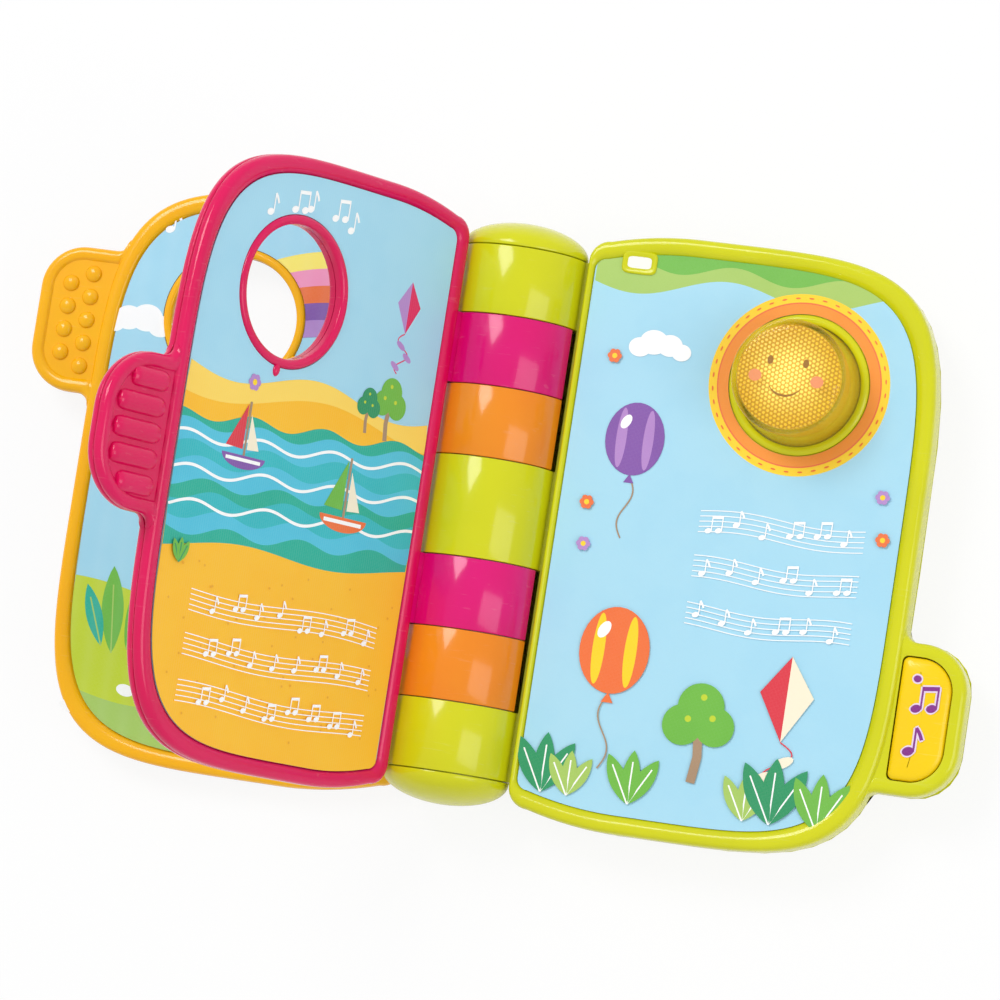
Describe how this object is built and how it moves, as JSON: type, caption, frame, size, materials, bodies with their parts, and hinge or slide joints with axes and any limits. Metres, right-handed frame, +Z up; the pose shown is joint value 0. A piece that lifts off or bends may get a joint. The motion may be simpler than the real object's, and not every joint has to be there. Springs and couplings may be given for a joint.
{
  "type": "sound book",
  "caption": "Thick moulded sound book lying open: a hollow housing with lamp and note buttons and a round spine on which two pages with finger tabs swing.",
  "frame": {"origin": "on the flat back, under the middle of the spine's axis", "axes": "+X from the spine across the housing, +Y along the spine to the top of the page, +Z up out of the panel"},
  "size_m": [0.3424, 0.2012, 0.1738],
  "materials": {
    "lime_plastic": "glossy",
    "pink_plastic": "glossy",
    "orange_plastic": "glossy",
    "beige_plastic": "satin",
    "white_plastic": "satin",
    "printed_sheet": "satin laminate",
    "clear_amber": "clear gloss",
    "yellow_plastic": "glossy",
    "dark_plastic": "matt",
    "dark_rubber": "matt",
    "battery_case": "printed sleeve",
    "steel": "zinc plated",
    "board_green": "solder mask"
  },
  "bodies": {
    "housing": {"front_housing": "lime_plastic", "rear_housing": "lime_plastic", "spine_top_cap": "lime_plastic", "spine_bottom_cap": "lime_plastic", "spine_core": "beige_plastic", "panel_print": "printed_sheet", "page_window": "white_plastic", "lamp_bezel": "lime_plastic", "battery_door": "lime_plastic", "battery_door_screw": "steel", "battery_1": "battery_case", "battery_2": "battery_case", "battery_contact_inner": "steel", "battery_contact_outer": "steel", "circuit_board": "board_green", "lamp_emitter": "white_plastic", "lamp_switch_dome": "dark_rubber", "speaker_frame": "dark_plastic", "speaker_magnet": "steel", "case_screw_1": "steel", "case_screw_2": "steel", "case_screw_3": "steel", "case_screw_4": "steel", "case_screw_5": "steel", "case_screw_6": "steel"},
    "lamp_button": {"lamp_lens": "clear_amber", "lamp_reflector": "yellow_plastic"},
    "note_key": {"note_button": "yellow_plastic"},
    "power_switch": {"power_slider": "dark_plastic"},
    "pink_page": {"pink_page_front": "pink_plastic", "pink_page_back": "pink_plastic", "pink_page_print_front": "printed_sheet", "pink_page_print_back": "printed_sheet"},
    "orange_page": {"orange_page_front": "orange_plastic", "orange_page_back": "orange_plastic", "orange_page_print_front": "printed_sheet", "orange_page_print_back": "printed_sheet"}
  },
  "joints": [
    {"name": "pink_page_turn", "type": "hinge", "parent": "housing", "child": "pink_page", "pos_m": [0, 0, 0.0215], "axis": [0, -1, 0], "range_deg": [-117.6, 58]},
    {"name": "orange_page_turn", "type": "hinge", "parent": "housing", "child": "orange_page", "pos_m": [0, 0, 0.0215], "axis": [0, -1, 0], "range_deg": [-58, 3.3]},
    {"name": "lamp_press", "type": "slide", "parent": "housing", "child": "lamp_button", "axis": [0, 0, -1], "range_m": [0, 0.0018], "stiffness_N_per_m": 700, "springref_m": -0.0006},
    {"name": "note_press", "type": "slide", "parent": "housing", "child": "note_key", "axis": [0, 0, -1], "range_m": [0, 0.0012], "stiffness_N_per_m": 700, "springref_m": -0.0004},
    {"name": "power_slide", "type": "slide", "parent": "housing", "child": "power_switch", "axis": [1, 0, 0], "range_m": [-0.004, 0.004]}
  ]
}
